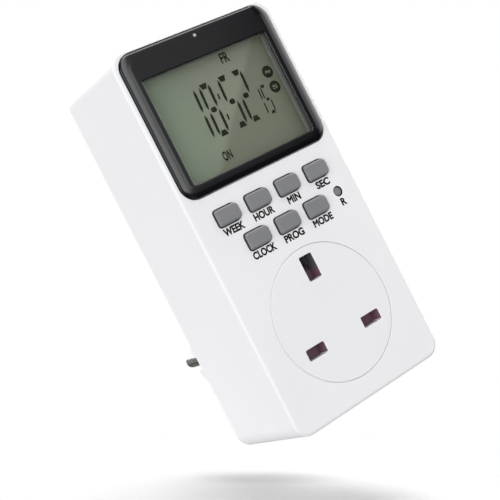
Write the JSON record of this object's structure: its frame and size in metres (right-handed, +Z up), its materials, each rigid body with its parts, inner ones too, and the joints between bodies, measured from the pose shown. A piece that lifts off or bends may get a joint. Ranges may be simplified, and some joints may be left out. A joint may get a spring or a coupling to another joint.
{
  "type": "programmable plug-in timer",
  "caption": "Plug-in programmable timer: tall white case with LCD, grey keys and a shuttered three-slot outlet in front, and a round two-pin plug boss behind.",
  "frame": {"origin": "centre of the plug boss's end face, which meets the wall outlet", "axes": "+Z up along the case's long side, +Y into the wall, +X to the right as seen from the front; the front faces -Y"},
  "size_m": [0.0584, 0.0811, 0.121],
  "materials": {
    "case_white": "fine satin moulded ABS",
    "face_white": "satin moulded plastic",
    "bezel_black": "polished",
    "clear_lens": "clear moulded acrylic",
    "lcd_green": "grey-green reflective LCD",
    "key_grey": "satin",
    "reset_grey": "satin",
    "mask_grey": "satin grey",
    "rubber_grey": "matt silicone",
    "shutter_red": "dark maroon nylon",
    "base_grey": "moulded thermoset",
    "nickel": "nickel plated brass",
    "contact_brass": "bright strip",
    "screw_steel": "zinc plated",
    "board_green": "solder mask",
    "black_plastic": "matt",
    "relay_blue": "moulded",
    "copper": "enamelled copper winding",
    "film_yellow": "moulded box",
    "wire_brown": "PVC insulation",
    "wire_red": "PVC insulation",
    "wire_blue": "PVC insulation",
    "wire_green": "PVC insulation"
  },
  "bodies": {
    "housing": {"front_case": "case_white", "rear_cover": "case_white", "socket_face": "face_white", "lcd_holder": "face_white", "bezel": "bezel_black", "display_window": "clear_lens", "led_light_pipe": "clear_lens", "indicator_led": "clear_lens", "lcd_glass": "lcd_green", "lcd_mask": "mask_grey", "keypad_mat": "rubber_grey", "zebra_strip": "rubber_grey", "lcd_backing_film": "rubber_grey", "board_ribbon": "rubber_grey", "socket_base": "base_grey", "pin_carrier": "base_grey", "live_pin": "nickel", "neutral_pin": "nickel", "earth_clip_top": "nickel", "earth_clip_bottom": "nickel", "live_contact": "contact_brass", "neutral_contact": "contact_brass", "earth_contact": "contact_brass", "shutter_spring": "screw_steel", "quartz_crystal": "screw_steel", "backup_cell": "screw_steel", "display_board_screw_left": "screw_steel", "display_board_screw_right": "screw_steel", "socket_screw_left": "screw_steel", "socket_screw_right": "screw_steel", "power_board_screw_left": "screw_steel", "power_board_screw_right": "screw_steel", "case_screw_top_left": "screw_steel", "case_screw_top_right": "screw_steel", "case_screw_bottom_left": "screw_steel", "case_screw_bottom_right": "screw_steel", "display_board": "board_green", "power_board": "board_green", "controller_chip": "black_plastic", "smoothing_capacitor": "black_plastic", "relay_cover": "relay_blue", "varistor": "relay_blue", "relay_coil": "copper", "film_capacitor": "film_yellow", "live_wire": "wire_brown", "load_wire": "wire_red", "neutral_wire": "wire_blue", "neutral_feed_wire": "wire_blue", "earth_wire": "wire_green"},
    "week_key": {"week_button": "key_grey"},
    "hour_key": {"hour_button": "key_grey"},
    "minute_key": {"minute_button": "key_grey"},
    "second_key": {"second_button": "key_grey"},
    "clock_key": {"clock_button": "key_grey"},
    "program_key": {"program_button": "key_grey"},
    "mode_key": {"mode_button": "key_grey"},
    "reset_key": {"reset_button": "reset_grey"},
    "shutter": {"safety_shutter": "shutter_red"},
    "armature": {"relay_armature": "screw_steel"}
  },
  "joints": [
    {"name": "week_press", "type": "slide", "parent": "housing", "child": "week_key", "axis": [0, 1, 0], "range_m": [0, 0.0008], "stiffness_N_per_m": 900, "springref_m": -0.0006},
    {"name": "hour_press", "type": "slide", "parent": "housing", "child": "hour_key", "axis": [0, 1, 0], "range_m": [0, 0.0008], "stiffness_N_per_m": 900, "springref_m": -0.0006},
    {"name": "minute_press", "type": "slide", "parent": "housing", "child": "minute_key", "axis": [0, 1, 0], "range_m": [0, 0.0008], "stiffness_N_per_m": 900, "springref_m": -0.0006},
    {"name": "second_press", "type": "slide", "parent": "housing", "child": "second_key", "axis": [0, 1, 0], "range_m": [0, 0.0008], "stiffness_N_per_m": 900, "springref_m": -0.0006},
    {"name": "clock_press", "type": "slide", "parent": "housing", "child": "clock_key", "axis": [0, 1, 0], "range_m": [0, 0.0008], "stiffness_N_per_m": 900, "springref_m": -0.0006},
    {"name": "program_press", "type": "slide", "parent": "housing", "child": "program_key", "axis": [0, 1, 0], "range_m": [0, 0.0008], "stiffness_N_per_m": 900, "springref_m": -0.0006},
    {"name": "mode_press", "type": "slide", "parent": "housing", "child": "mode_key", "axis": [0, 1, 0], "range_m": [0, 0.0008], "stiffness_N_per_m": 900, "springref_m": -0.0006},
    {"name": "reset_press", "type": "slide", "parent": "housing", "child": "reset_key", "axis": [0, 1, 0], "range_m": [0, 0.0008], "stiffness_N_per_m": 700, "springref_m": -0.0006},
    {"name": "shutter_slide", "type": "slide", "parent": "housing", "child": "shutter", "axis": [0, 0, -1], "range_m": [0, 0.0054], "stiffness_N_per_m": 180, "springref_m": -0.003, "deforming": ["shutter_spring"]},
    {"name": "relay_armature_tilt", "type": "hinge", "parent": "housing", "child": "armature", "pos_m": [-0.012, -0.0454, 0.072], "axis": [1, 0, 0], "range_deg": [0, 3.5], "stiffness_Nm_per_rad": 0.05, "springref_deg": -8.59}
  ]
}
